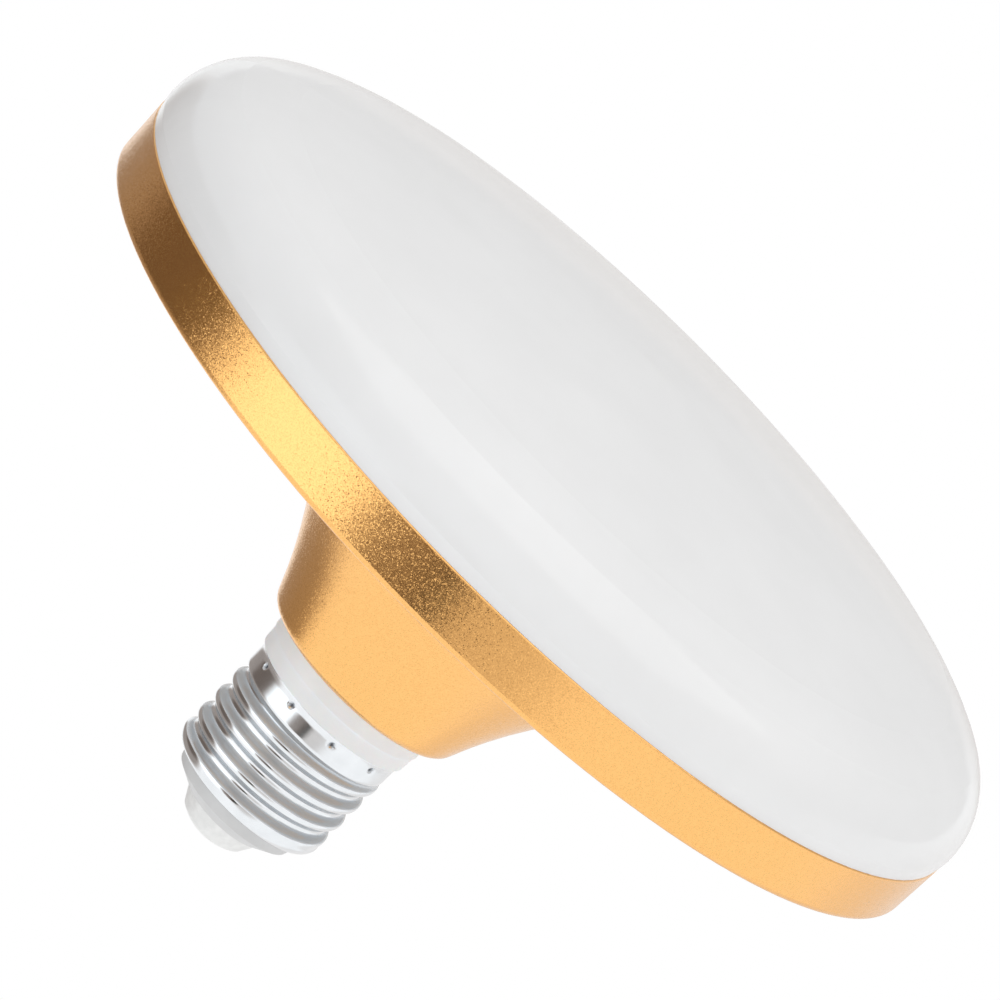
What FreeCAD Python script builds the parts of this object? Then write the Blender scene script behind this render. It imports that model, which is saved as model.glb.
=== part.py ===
import FreeCAD, Part
import Sketcher
import math
import os

# A flat disc-shaped LED lamp with an E27 screw cap, as it hangs in a ceiling lampholder.
# The opal cover is at the bottom, the cap at the top, and +Z runs up the lamp's axis.
# The origin is the lowest point, the crown of the cover. Lengths are in millimetres.

DIMENSIONS = {
    # E27 screw shell
    "thread_crest_radius": 13.13,
    "thread_pitch": 3.629,
    "thread_arc_radius": 1.025,
    "thread_length": 12.5,
    "shell_wall": 0.3,
    "skirt_relief": 0.18,
    "skirt_length": 4.5,
    "lip_flare": 0.5,
    "lip_height": 1.3,
    "thread_run_in": 1.4,
    "shell_end_height": 2.1,
    "shell_end_step": 1.75,
    "shell_end_lip": 0.45,
    "shell_floor": 0.8,
    "dimple_count": 10,
    "dimple_radius": 0.9,
    "dimple_depth": 0.45,
    "dimple_height": 1.25,
    # insulator and centre contact
    "insulator_gap": 0.05,
    "insulator_grip": 1.6,
    "insulator_neck_height": 2.0,
    "insulator_neck_draft": 0.55,
    "insulator_face_radius": 7.2,
    "insulator_face_height": 2.0,
    "contact_inset": 0.25,
    "contact_flank_height": 2.8,
    "contact_flank_draft": 1.55,
    "contact_crown": 1.7,
    "contact_rounding": 0.8,
    "shank_radius": 1.6,
    "rivet_radius": 2.8,
    "rivet_height": 0.8,
    # white base adapter
    "adapter_height": 5.4,
    "collar_proud": 0.4,
    "collar_height": 2.7,
    "collar_step": 0.2,
    "collar_draft": 0.15,
    "plug_gap": 0.15,
    "crimp_height": 2.3,
    "crimp_depth": 0.7,
    "plug_height": 11.6,
    "plug_wall": 1.4,
    "floor_thickness": 1.2,
    "shoulder_step": 1.2,
    "shoulder_height": 5.0,
    "cup_wall": 1.35,
    "ear_thickness": 1.6,
    "ear_inset": 0.4,
    "rib_reach": 1.6,
    "rib_thickness": 1.2,
    "slot_gap": 0.1,
    # gold housing
    "rim_radius": 76.25,
    "rim_draft": 0.3,
    "band_height": 8.45,
    "rim_rounding": 1.0,
    "rim_edge_rounding": 0.3,
    "housing_wall": 1.8,
    "dish_slope": 9.5,
    "dish_rounding": 20.0,
    "neck_flare": 15.1,
    "neck_length": 25.1,
    "neck_curve_radius": 70.0,
    "neck_end_step": 2.83,
    "neck_rounding": 2.3,
    "opening_gap": 0.1,
    "lug_count": 3,
    "lug_radius": 2.7,
    "lug_skin": 0.2,
    "lug_setback": 11.0,
    "lug_height": 3.3,
    "lug_gap": 0.15,
    "seat_width": 6.0,
    "boss_radius": 4.2,
    "pilot_depth": 4.0,
    "fin_count": 12,
    "fin_thickness": 1.4,
    "fin_drop": 0.6,
    "fin_clearance": 8.5,
    # opal cover
    "cover_depth": 21.0,
    "cover_overhang": 0.15,
    "cover_wall": 1.6,
    "cover_skirt": 2.0,
    "cover_foot_step": 0.3,
    "shoulder_radius": 11.0,
    "shoulder_angle": 61.0,
    "brow_radius": 28.0,
    "cover_gap": 0.1,
    "cover_plug_depth": 3.0,
    "cover_plug_wall": 1.5,
    # LED board
    "board_margin": 10.5,
    "board_drop": 5.0,
    "board_thickness": 1.2,
    "board_hole_radius": 5.0,
    "board_screw_count": 4,
    "screw_inset": 6.5,
    "led_length": 3.5,
    "led_width": 2.8,
    "led_height": 0.7,
    "led_edge": 12.0,
    "led_inner_gap": 8.5,
    "led_ring_count": 3,
    "led_outer_count": 24,
    "led_inner_count": 12,
    # screws
    "screw_radius": 1.5,
    "screw_length": 4.9,
    "screw_head_radius": 2.8,
    "screw_head_height": 1.6,
    "small_screw_radius": 1.25,
    "small_screw_length": 4.4,
    "small_screw_head_radius": 2.2,
    "small_screw_head_height": 1.4,
    "screw_gap": 0.05,
    "recess_width": 0.5,
    "recess_depth": 0.8,
    "head_rounding": 0.5,
    # driver
    "driver_clearance": 3.9,
    "driver_pattern": 35.0,
    "driver_thickness": 1.6,
    "driver_edge_gap": 0.3,
    "driver_end_gap": 0.1,
    "coil_gap": 0.1,
    "core_length": 12.4,
    "core_width": 13.0,
    "core_depth": 6.0,
    "core_leg_width": 3.6,
    "core_yoke": 2.0,
    "coil_depth": 11.2,
    "coil_width": 9.0,
    "inductor_place": 12.0,
    "input_capacitor_radius": 4.0,
    "input_capacitor_length": 14.0,
    "input_capacitor_place": 26.5,
    "input_capacitor_side": 4.6,
    "can_rounding": 0.6,
    "output_capacitor_radius": 2.5,
    "output_capacitor_length": 11.0,
    "output_capacitor_place": 3.0,
    "film_capacitor_length": 10.0,
    "film_capacitor_width": 8.0,
    "film_capacitor_depth": 4.5,
    "film_capacitor_place": 26.5,
    "film_capacitor_side": -5.4,
    "fuse_radius": 1.5,
    "fuse_length": 8.0,
    "fuse_place": 12.0,
    "fuse_side": -9.6,
    "lead_radius": 0.3,
    "lead_reach": 2.2,
    "bridge_length": 4.7,
    "bridge_width": 3.9,
    "bridge_height": 1.6,
    "bridge_place": 24.0,
    "chip_length": 4.9,
    "chip_width": 3.9,
    "chip_height": 1.5,
    "chip_place": 14.0,
    "leg_pitch": 1.27,
    "leg_width": 0.4,
    "leg_reach": 1.0,
    "leg_height": 0.5,
    "diode_length": 4.3,
    "diode_width": 2.6,
    "diode_height": 2.2,
    "diode_place": 19.2,
    "resistor_length": 2.0,
    "resistor_width": 1.25,
    "resistor_height": 0.5,
    "resistor_count": 6,
    "resistor_step": 3.6,
    "resistor_side": 8.2,
    "resistor_place": 5.0,
    # leads
    "mains_lead_radius": 0.6,
    "mains_lead_side": 3.6,
    "mains_lead_overlap": 5.0,
    "led_lead_radius": 0.5,
    "led_lead_side": 2.4,
    "led_lead_overlap": 4.5,
    "bend_share": 0.45,
    "connector_length": 6.0,
    "connector_width": 6.4,
    "connector_height": 3.2,
    "connector_place": 9.5,
}

# Angles in degrees, and the share of a resistor's half length where its leads begin
THREAD_START_ANGLE = 90.0
THREAD_CORE_ANGLE = 18.0
THREAD_BASE_ANGLE = 12.0
FUSE_LEAD_START = 0.9

DOC = FreeCAD.newDocument("lamp")
SHEET = DOC.addObject("Spreadsheet::Sheet", "sizes")


class Size:
    """A number together with the expression that works it out from the sheet."""

    def __init__(self, value, text):
        self.value = value
        self.text = text

    def __add__(self, other):
        return combine(self, other, "+", self.value + number(other))

    def __radd__(self, other):
        return combine(other, self, "+", number(other) + self.value)

    def __sub__(self, other):
        return combine(self, other, "-", self.value - number(other))

    def __rsub__(self, other):
        return combine(other, self, "-", number(other) - self.value)

    def __mul__(self, other):
        return combine(self, other, "*", self.value * number(other))

    def __rmul__(self, other):
        return combine(other, self, "*", number(other) * self.value)

    def __truediv__(self, other):
        return combine(self, other, "/", self.value / number(other))

    def __neg__(self):
        return Size(-self.value, f"(0 - {self.text})")


def number(item):
    return item.value if isinstance(item, Size) else item


def words(item):
    return item.text if isinstance(item, Size) else repr(item)


def combine(left, right, sign, value):
    return Size(value, f"({words(left)} {sign} {words(right)})")


def root(item):
    return Size(math.sqrt(item.value), f"sqrt({item.text})")


def sine(angle):
    return Size(math.sin(math.radians(angle.value)), f"sin({angle.text})")


def cosine(angle):
    return Size(math.cos(math.radians(angle.value)), f"cos({angle.text})")


def tangent(angle):
    return Size(math.tan(math.radians(angle.value)), f"tan({angle.text})")


def fill_sheet():
    for row, (name, value) in enumerate(DIMENSIONS.items(), start=1):
        SHEET.set(f"A{row}", name)
        SHEET.set(f"B{row}", str(value))
        SHEET.setAlias(f"B{row}", name)
    DOC.recompute()


def size(name):
    return Size(float(SHEET.get(name)), f"sizes.{name}")


def count(name):
    return int(round(SHEET.get(name)))


def bind(item, path, value):
    """Tie a property of an object to the sheet."""
    if isinstance(value, Size):
        item.setExpression(path, value.text)


# Sketches and features


def new_body(name):
    body = DOC.addObject("PartDesign::Body", name)
    body.Label = name
    return body


def new_sketch(body, role, name, lift=None):
    """A sketch on one of the body's origin planes, lifted off it where that is asked."""
    sketch = body.newObject("Sketcher::SketchObject", f"{body.Name}_{name}")
    plane = next(item for item in body.Origin.OriginFeatures if item.Role == role)
    sketch.AttachmentSupport = [(plane, "")]
    sketch.MapMode = "FlatFace"
    if lift is not None:
        sketch.AttachmentOffset = FreeCAD.Placement(FreeCAD.Vector(0, 0, number(lift)), FreeCAD.Rotation())
        bind(sketch, "AttachmentOffset.Base.z", lift)
    return sketch


def fix_point(sketch, edge, end, x, y):
    """Hold one end of an edge at a place worked out from the sheet."""
    for kind, axis, value in (("DistanceX", -2, x), ("DistanceY", -1, y)):
        if isinstance(value, Size):
            index = sketch.addConstraint(Sketcher.Constraint(kind, -1, 1, edge, end, value.value))
            bind(sketch, f"Constraints[{index}]", value)
        else:
            sketch.addConstraint(Sketcher.Constraint("PointOnObject", edge, end, axis))


def draw_outline(sketch, corners):
    """A closed outline. A corner is (x, y), or (x, y, radius, side) if an arc leads to it.

    The side is 1 for an arc that swells to the left of the way drawn and -1 for the right.
    """
    points = [FreeCAD.Vector(number(corner[0]), number(corner[1]), 0) for corner in corners]
    ends = []
    for i, start in enumerate(points):
        target = corners[(i + 1) % len(points)]
        stop = points[(i + 1) % len(points)]
        edge = sketch.GeometryCount
        if len(target) == 2:
            sketch.addGeometry(Part.LineSegment(start, stop))
            ends.append((edge, 1, 2))
            continue
        sketch.addGeometry(Part.Arc(start, arc_middle(start, stop, number(target[2]), target[3]), stop))
        forward = sketch.getPoint(edge, 1).distanceToPoint(start) < sketch.getPoint(edge, 2).distanceToPoint(start)
        ends.append((edge, 1, 2) if forward else (edge, 2, 1))
    for i, (edge, first, last) in enumerate(ends):
        following, following_first, _ = ends[(i + 1) % len(ends)]
        sketch.addConstraint(Sketcher.Constraint("Coincident", edge, last, following, following_first))
        fix_point(sketch, edge, first, corners[i][0], corners[i][1])
    for i, (edge, _, _) in enumerate(ends):
        target = corners[(i + 1) % len(corners)]
        if len(target) == 4:
            index = sketch.addConstraint(Sketcher.Constraint("Radius", edge, number(target[2])))
            bind(sketch, f"Constraints[{index}]", target[2])


def arc_middle(start, stop, radius, side):
    chord = stop - start
    sagitta = radius - math.sqrt(max(radius**2 - chord.Length**2 / 4, 0))
    left = FreeCAD.Vector(-chord.y, chord.x, 0).normalize()
    return (start + stop) / 2 + left * sagitta * side


def draw_circle(sketch, x, y, radius):
    circle = Part.Circle(FreeCAD.Vector(number(x), number(y), 0), FreeCAD.Vector(0, 0, 1), number(radius))
    edge = sketch.addGeometry(circle)
    fix_point(sketch, edge, 3, x, y)
    index = sketch.addConstraint(Sketcher.Constraint("Radius", edge, number(radius)))
    bind(sketch, f"Constraints[{index}]", radius)


def revolve(body, name, corners, kind="Revolution"):
    """Turn an outline in the XZ plane about the lamp's axis, as metal, or as a groove."""
    sketch = new_sketch(body, "XZ_Plane", f"{name}_outline")
    draw_outline(sketch, corners)
    turned = body.newObject(f"PartDesign::{kind}", f"{body.Name}_{name}")
    turned.Profile = sketch
    turned.ReferenceAxis = (sketch, ["V_Axis"])
    turned.Angle = 360
    DOC.recompute()
    return turned


def pad(body, name, sketch, length, kind="Pad", down=False):
    """Pad or pocket a sketch. A pad runs along the sketch's normal and a pocket against it."""
    feature = body.newObject(f"PartDesign::{kind}", f"{body.Name}_{name}")
    feature.Profile = sketch
    feature.Length = number(length)
    bind(feature, "Length", length)
    feature.Reversed = down
    DOC.recompute()
    return feature


def round_edges(body, name, radius, places):
    """Fillet the circular edges that lie at the given (radius, height) places."""
    base = body.Tip
    names = []
    for i, edge in enumerate(base.Shape.Edges, start=1):
        if edge.Degenerated or edge.Curve.TypeId != "Part::GeomCircle":
            continue
        found = (edge.Curve.Radius, edge.Curve.Center.z)
        if any(math.dist(found, (number(r), number(z))) < 0.01 for r, z in places):
            names.append(f"Edge{i}")
    fillet = body.newObject("PartDesign::Fillet", f"{body.Name}_{name}")
    fillet.Base = (base, names)
    fillet.Radius = number(radius)
    bind(fillet, "Radius", radius)
    DOC.recompute()
    return fillet


def repeat_round(body, name, feature, copies):
    """Repeat a feature evenly round the lamp's axis."""
    pattern = body.newObject("PartDesign::PolarPattern", f"{body.Name}_{name}")
    axis = next(item for item in body.Origin.OriginFeatures if item.Role == "Z_Axis")
    pattern.Originals = [feature]
    pattern.Axis = (axis, [""])
    pattern.Angle = 360
    pattern.Occurrences = count(copies)
    bind(pattern, "Occurrences", size(copies))
    body.Tip = pattern
    DOC.recompute()
    return pattern


def box(name, lengths, centre):
    """A block of the given lengths about a centre."""
    block = DOC.addObject("Part::Box", name)
    block.Label = name
    corner = [middle - length / 2 for middle, length in zip(centre, lengths)]
    for path, value in zip(("Length", "Width", "Height"), lengths):
        setattr(block, path, number(value))
        bind(block, path, value)
    block.Placement.Base = FreeCAD.Vector(*(number(value) for value in corner))
    for path, value in zip("xyz", corner):
        bind(block, f"Placement.Base.{path}", value)
    return block


def fuse(name, pieces):
    joined = DOC.addObject("Part::MultiFuse", name)
    joined.Label = name
    joined.Shapes = pieces
    DOC.recompute()
    return joined


def shaped(name, shape):
    """A piece whose shape is made directly from the sheet's values."""
    piece = DOC.addObject("Part::Feature", name)
    piece.Label = name
    piece.Shape = shape
    piece.Placement = FreeCAD.Placement()
    return piece


def turned_copies(shape, angles):
    """Copies of one shape, turned round the lamp's axis, as separate solids."""
    copies = []
    for angle in angles:
        turned = shape.copy()
        turned.rotate(FreeCAD.Vector(), FreeCAD.Vector(0, 0, 1), angle)
        copies.append(turned)
    return Part.makeCompound([solid for copied in copies for solid in copied.Solids])


def even_angles(copies, first=0.0):
    return [first + 360.0 * i / copies for i in range(copies)]


fill_sheet()


# Heights and radii that several pieces share, worked out from the dimensions

seam = size("cover_depth")
rim_base_radius = size("rim_radius") - size("rim_draft")
rim_base = seam + size("band_height")

skirt_radius = size("thread_crest_radius") - size("skirt_relief")
mouth_radius = skirt_radius + size("lip_flare")
collar_radius = mouth_radius + size("collar_proud")
opening_radius = collar_radius + size("opening_gap")

neck_end_radius = collar_radius + size("neck_end_step")
neck_root_radius = neck_end_radius + size("neck_flare")


def dish_height(radius):
    """Height of the dish's outer face at a radius."""
    return rim_base + (rim_base_radius - radius) * tangent(size("dish_slope"))


def dish_middle(radius):
    """Height half way through the dish's wall at a radius."""
    return dish_height(radius) - size("housing_wall") / 2 / cosine(size("dish_slope"))


neck_root = dish_height(neck_root_radius)
neck_end = neck_root + size("neck_length")


def neck_radius(height):
    """Radius of the neck's outer face at a height: an arc whose centre lies outside the lamp."""
    curve = size("neck_curve_radius")
    run = size("neck_flare")
    rise = size("neck_length")
    chord = root(run * run + rise * rise)
    reach = root(curve * curve - chord * chord / 4)
    centre_x = (neck_root_radius + neck_end_radius) / 2 + reach * rise / chord
    centre_z = (neck_root + neck_end) / 2 + reach * run / chord
    drop = height - centre_z
    return centre_x - root(curve * curve - drop * drop)


end_wall = neck_end - size("housing_wall")
lug_face = neck_end - size("lug_setback")
lug_end = lug_face + size("lug_height")
lug_circle = neck_radius(lug_end) - size("lug_radius") - size("lug_skin")

cup_radius = lug_circle - size("lug_radius") - size("lug_gap")
bore_radius = cup_radius - size("cup_wall")
cup_top = lug_face - size("ear_thickness")

mouth = neck_end + size("adapter_height")
skirt_end = mouth + size("skirt_length")
thread_end = skirt_end + size("thread_length")
shell_end = thread_end + size("shell_end_height")
shell_end_radius = size("thread_crest_radius") - size("shell_end_step")
grip_radius = shell_end_radius - size("shell_end_lip")
arc = size("thread_arc_radius")
thread_depth = 2 * arc - root(4 * arc * arc - size("thread_pitch") * size("thread_pitch") / 4)
root_radius = size("thread_crest_radius") - thread_depth
shell_bore = root_radius - size("shell_wall")

plug_floor = mouth - size("floor_thickness")
plug_radius = shell_bore - size("plug_gap")
plug_bore = plug_radius - size("plug_wall")
plug_end = mouth + size("plug_height")

board_front = seam + size("board_drop")
board_back = board_front + size("board_thickness")
board_radius = size("rim_radius") - size("board_margin")
screw_circle = board_radius - size("screw_inset")
seat_radius = board_radius - size("seat_width")

driver_end = plug_floor - size("driver_end_gap")
driver_top = board_back + size("driver_clearance")
driver_length = driver_end - driver_top
driver_face = size("driver_thickness") / 2


def along(name):
    """A length along the driver board, which is drawn for a pattern board and stretches with it."""
    return size(name) * driver_length / size("driver_pattern")


grip_start = shell_end - size("shell_floor") - size("insulator_grip")
rivet_end = grip_start - size("rivet_height")
shank_hole = size("shank_radius") + size("insulator_gap")
insulator_neck = shell_end + size("insulator_neck_height")
insulator_face = insulator_neck + size("insulator_face_height")
coil_centre = driver_face + size("coil_depth") / 2


# Opal cover, one moulding that stands in the housing's rim


def cover_arcs(inset, side):
    """The corners of the cover's dome, from the crown out to its upright skirt, inset by a wall."""
    shoulder = size("shoulder_radius")
    brow = size("brow_radius")
    angle = size("shoulder_angle")
    shoulder_x = size("rim_radius") + size("cover_overhang") - shoulder
    shoulder_z = seam - size("cover_skirt")
    brow_x = shoulder_x - (brow - shoulder) * cosine(angle)
    brow_z = shoulder_z + (brow - shoulder) * sine(angle)
    crown = (brow_x * brow_x + brow_z * brow_z - brow * brow) / (2 * (brow_z - brow))
    share = (crown - inset) / (crown - brow)
    brow_start = (brow_x * share, crown + (brow_z - crown) * share, crown - inset, side)
    shoulder_start = (
        shoulder_x + (shoulder - inset) * cosine(angle),
        shoulder_z - (shoulder - inset) * sine(angle),
        brow - inset,
        side,
    )
    skirt = (shoulder_x + shoulder - inset, shoulder_z, shoulder - inset, side)
    return [brow_start, shoulder_start, skirt]


def diffuser_cover():
    body = new_body("diffuser_cover")
    wall = size("cover_wall")
    foot = size("rim_radius") + size("cover_overhang") - size("cover_foot_step")
    plug = rim_base_radius - size("housing_wall") - size("cover_gap")
    plug_inside = plug - size("cover_plug_wall")
    plug_edge = seam + size("cover_plug_depth")
    inside = cover_arcs(wall, 1)
    corners = [(0, 0)]
    corners += cover_arcs(0, -1)
    corners += [(foot, seam), (plug, seam), (plug, plug_edge), (plug_inside, plug_edge)]
    corners += [(plug_inside, seam - wall)]
    corners += [inside[2][:2], inside[1][:2] + inside[2][2:], inside[0][:2] + inside[1][2:]]
    corners += [(0, wall) + inside[0][2:]]
    revolve(body, "moulding", corners)
    return body


# Gold housing: a die-cast dish and neck with a board seat, screw bosses, cooling fins and lugs


def housing():
    body = new_body("housing")
    outer = [
        (0, seam),
        (size("rim_radius"), seam),
        (rim_base_radius, rim_base),
        (neck_root_radius, neck_root),
        (neck_end_radius, neck_end, size("neck_curve_radius"), 1),
        (0, neck_end),
    ]
    revolve(body, "form", outer)
    round_edges(body, "dish_rounding", size("dish_rounding"), [(neck_root_radius, neck_root)])
    round_edges(body, "neck_rounding", size("neck_rounding"), [(neck_end_radius, neck_end)])
    hollow_housing(body)
    round_edges(body, "rim_rounding", size("rim_rounding"), [(rim_base_radius, rim_base)])
    round_edges(body, "rim_edge_rounding", size("rim_edge_rounding"), [(size("rim_radius"), seam)])
    add_board_seat(body)
    add_fins(body)
    add_pilots(body)
    add_lugs(body)
    opening = new_sketch(body, "XY_Plane", "opening_circle", neck_end)
    draw_circle(opening, 0, 0, opening_radius)
    pad(body, "opening", opening, size("housing_wall") * 2, "Pocket")
    return body


def hollow_housing(body):
    base = body.Tip
    faces = base.Shape.Faces
    flat = [i for i, face in enumerate(faces, start=1) if face.Surface.TypeId == "Part::GeomPlane"]
    lowest = min(flat, key=lambda i: faces[i - 1].CenterOfMass.z)
    hollow = body.newObject("PartDesign::Thickness", f"{body.Name}_hollow")
    hollow.Base = (base, [f"Face{lowest}"])
    hollow.Value = number(size("housing_wall"))
    bind(hollow, "Value", size("housing_wall"))
    hollow.Reversed = True
    DOC.recompute()


def add_board_seat(body):
    ring = [
        (seat_radius, board_back),
        (board_radius, board_back),
        (board_radius, dish_middle(board_radius)),
        (seat_radius, dish_middle(seat_radius)),
    ]
    revolve(body, "board_seat", ring)
    bosses = new_sketch(body, "XY_Plane", "boss_circle", board_back)
    draw_circle(bosses, screw_circle, 0, size("boss_radius"))
    boss = pad(body, "boss", bosses, dish_middle(screw_circle) - board_back)
    repeat_round(body, "bosses", boss, "board_screw_count")


def add_pilots(body):
    pilots = new_sketch(body, "XY_Plane", "pilot_circle", board_back)
    draw_circle(pilots, screw_circle, 0, size("screw_radius"))
    pilot = pad(body, "pilot", pilots, size("pilot_depth"), "Pocket", down=True)
    repeat_round(body, "pilots", pilot, "board_screw_count")


def add_fins(body):
    inner = neck_root_radius + size("fin_clearance")
    outer = seat_radius + size("seat_width") / 4
    crest = board_back + size("fin_drop")
    corners = [
        (inner, crest),
        (outer, crest),
        (outer, dish_middle(outer)),
        (inner, dish_middle(inner)),
    ]
    sketch = new_sketch(body, "XZ_Plane", "fin_outline")
    draw_outline(sketch, corners)
    fin = pad(body, "fin", sketch, size("fin_thickness"))
    fin.SideType = "Symmetric"
    DOC.recompute()
    repeat_round(body, "fins", fin, "fin_count")


def add_lugs(body):
    circles = new_sketch(body, "XY_Plane", "lug_circle", lug_face)
    draw_circle(circles, lug_circle, 0, size("lug_radius"))
    lug = pad(body, "lug", circles, size("lug_height"))
    repeat_round(body, "lugs", lug, "lug_count")
    holes = new_sketch(body, "XY_Plane", "lug_hole_circle", lug_face)
    draw_circle(holes, lug_circle, 0, size("small_screw_radius"))
    hole = pad(body, "lug_hole", holes, size("lug_height"), "Pocket", down=True)
    repeat_round(body, "lug_holes", hole, "lug_count")


# White base adapter: a moulded cup in the neck, a collar below it and a plug inside the shell


def base_adapter():
    body = new_body("base_adapter")
    shoulder_radius = collar_radius + size("shoulder_step")
    taper_radius = collar_radius - size("collar_step")
    skirt_plug = skirt_radius - size("shell_wall") - size("plug_gap")
    crimp_radius = skirt_plug - size("crimp_depth")
    plug_step = skirt_end - size("thread_run_in") / 2
    corners = [
        (bore_radius, cup_top),
        (cup_radius, cup_top),
        (cup_radius, end_wall - size("shoulder_height")),
        (shoulder_radius, end_wall - size("shoulder_height")),
        (shoulder_radius, end_wall),
        (collar_radius, end_wall),
        (collar_radius, neck_end + size("collar_height")),
        (taper_radius, neck_end + size("collar_height")),
        (taper_radius - size("collar_draft"), mouth),
        (crimp_radius, mouth),
        (crimp_radius, mouth + size("crimp_height")),
        (skirt_plug, mouth + size("crimp_height")),
        (skirt_plug, plug_step),
        (plug_radius, plug_step),
        (plug_radius, plug_end),
        (plug_bore, plug_end),
        (plug_bore, plug_floor),
        (bore_radius, plug_floor),
    ]
    revolve(body, "sleeve", corners)
    add_ears(body)
    add_ribs(body)
    return body


def add_ears(body):
    """Three ears rest on the housing's lugs and take the small screws."""
    half = size("lug_radius") - size("ear_inset")
    start = bore_radius + size("cup_wall") / 2
    bars = new_sketch(body, "XY_Plane", "ear_outline", cup_top)
    draw_outline(bars, [(start, -half), (lug_circle, -half), (lug_circle, half), (start, half)])
    bar = pad(body, "ear_bar", bars, size("ear_thickness"))
    repeat_round(body, "ear_bars", bar, "lug_count")
    tips = new_sketch(body, "XY_Plane", "ear_circle", cup_top)
    draw_circle(tips, lug_circle, 0, half)
    tip = pad(body, "ear_tip", tips, size("ear_thickness"))
    repeat_round(body, "ear_tips", tip, "lug_count")
    holes = new_sketch(body, "XY_Plane", "ear_hole_circle", cup_top)
    draw_circle(holes, lug_circle, 0, size("small_screw_radius") + size("screw_gap"))
    hole = pad(body, "ear_hole", holes, size("ear_thickness"), "Pocket", down=True)
    repeat_round(body, "ear_holes", hole, "lug_count")


def add_ribs(body):
    """Two ribs each side hold the driver board's edges."""
    inner = bore_radius - size("rib_reach")
    outer = bore_radius + size("cup_wall") / 3
    near = driver_face + size("slot_gap")
    far = near + size("rib_thickness")
    for i, (side, face) in enumerate(((1, 1), (1, -1), (-1, 1), (-1, -1))):
        sketch = new_sketch(body, "XY_Plane", f"rib_outline_{i}", lug_face)
        corners = [
            (inner * side, near * face),
            (outer * side, near * face),
            (outer * side, far * face),
            (inner * side, far * face),
        ]
        draw_outline(sketch, corners)
        pad(body, f"rib_{i}", sketch, plug_floor - lug_face)


# Nickel-plated screw shell with a rolled E27 thread, crimped to the adapter by a ring of dimples


def shell_outer():
    """The shell's outer form as a solid: flared mouth, plain skirt, thread and rounded end."""
    body = new_body("shell_outer")
    core_radius = root_radius + arc * (1 - math.cos(math.radians(THREAD_CORE_ANGLE)))
    corners = [
        (0, mouth),
        (mouth_radius, mouth),
        (skirt_radius, mouth + size("lip_height"), size("lip_height") * 2, 1),
        (skirt_radius, skirt_end),
        (core_radius, skirt_end + size("thread_run_in")),
        (core_radius, shell_end),
        (0, shell_end),
    ]
    revolve(body, "core", corners)
    sketch = new_sketch(body, "XZ_Plane", "thread_outline")
    draw_outline(sketch, thread_profile())
    thread = body.newObject("PartDesign::AdditiveHelix", "shell_outer_thread")
    thread.Profile = sketch
    thread.ReferenceAxis = (sketch, ["V_Axis"])
    thread.Mode = "pitch-height-angle"
    height = size("thread_length") + size("thread_pitch") / 2
    for path, value in (("Pitch", size("thread_pitch")), ("Height", height)):
        setattr(thread, path, number(value))
        bind(thread, path, value)
    DOC.recompute()
    clear = size("thread_crest_radius") + size("lip_flare")
    beyond = shell_end + size("shell_end_height")
    waste = [
        (size("thread_crest_radius"), thread_end, size("shell_end_height") * 1.5, 1),
        (clear, thread_end),
        (clear, beyond),
        (0, beyond),
        (0, shell_end),
        (shell_end_radius, shell_end),
    ]
    revolve(body, "end_rounding", waste, "Groove")
    return body


def thread_profile():
    """One turn's ridge: the crest and half a root each side, drawn as short chords of their arcs."""
    crest_x = size("thread_crest_radius") - arc
    root_x = root_radius + arc
    pitch = size("thread_pitch")
    lean = math.degrees(math.atan2(number(pitch) / 2, number(root_x - crest_x)))
    start = skirt_end - pitch / 20
    ridge = []
    for share in (-1, -1 / 3, 1 / 3, 1):
        angle = math.radians(lean * share)
        ridge.append((crest_x + arc * math.cos(angle), start + arc * math.sin(angle)))
    base = math.radians(THREAD_BASE_ANGLE)
    foot = root_x - arc * math.cos(base)
    low = start - pitch / 2 + arc * math.sin(base)
    high = start + pitch / 2 - arc * math.sin(base)
    depth = root_radius - size("shell_wall") / 2
    return [(depth, low), (foot, low)] + ridge + [(foot, high), (depth, high)]


def shell_inner():
    """The space inside the shell, with a plain bore behind the thread."""
    body = new_body("shell_inner")
    wall = size("shell_wall")
    corners = [
        (0, mouth),
        (mouth_radius - wall, mouth),
        (skirt_radius - wall, mouth + size("lip_height")),
        (skirt_radius - wall, skirt_end - size("thread_run_in") / 2),
        (shell_bore, skirt_end),
        (shell_bore, shell_end - size("shell_floor")),
        (grip_radius, shell_end - size("shell_floor")),
        (grip_radius, shell_end + wall),
        (0, shell_end + wall),
    ]
    revolve(body, "bore", corners)
    return body


def dimple_balls(name, radius):
    """Balls round the skirt whose caps are the dimples, or the bumps that they raise inside."""
    reach = skirt_radius + size("dimple_radius") - size("dimple_depth")
    balls = []
    for i, angle in enumerate(even_angles(count("dimple_count"), 180.0 / count("dimple_count"))):
        ball = DOC.addObject("Part::Sphere", f"{name}_{i}")
        ball.Radius = number(radius)
        bind(ball, "Radius", radius)
        place = (
            reach * math.cos(math.radians(angle)),
            reach * math.sin(math.radians(angle)),
            mouth + size("dimple_height"),
        )
        ball.Placement.Base = FreeCAD.Vector(*(number(value) for value in place))
        for path, value in zip("xyz", place):
            bind(ball, f"Placement.Base.{path}", value)
        balls.append(ball)
    return fuse(name, balls)


def cut(name, base, tool):
    left = DOC.addObject("Part::Cut", name)
    left.Label = name
    left.Base = base
    left.Tool = tool
    DOC.recompute()
    return left


def screw_shell():
    outer = cut("dimpled_form", shell_outer(), dimple_balls("dimples", size("dimple_radius")))
    bumps = dimple_balls("bumps", size("dimple_radius") + size("shell_wall"))
    inner = cut("bumped_space", shell_inner(), bumps)
    shell = cut("screw_shell", outer, inner)
    shell.Placement.Rotation = FreeCAD.Rotation(FreeCAD.Vector(0, 0, 1), THREAD_START_ANGLE)
    return shell


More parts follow.
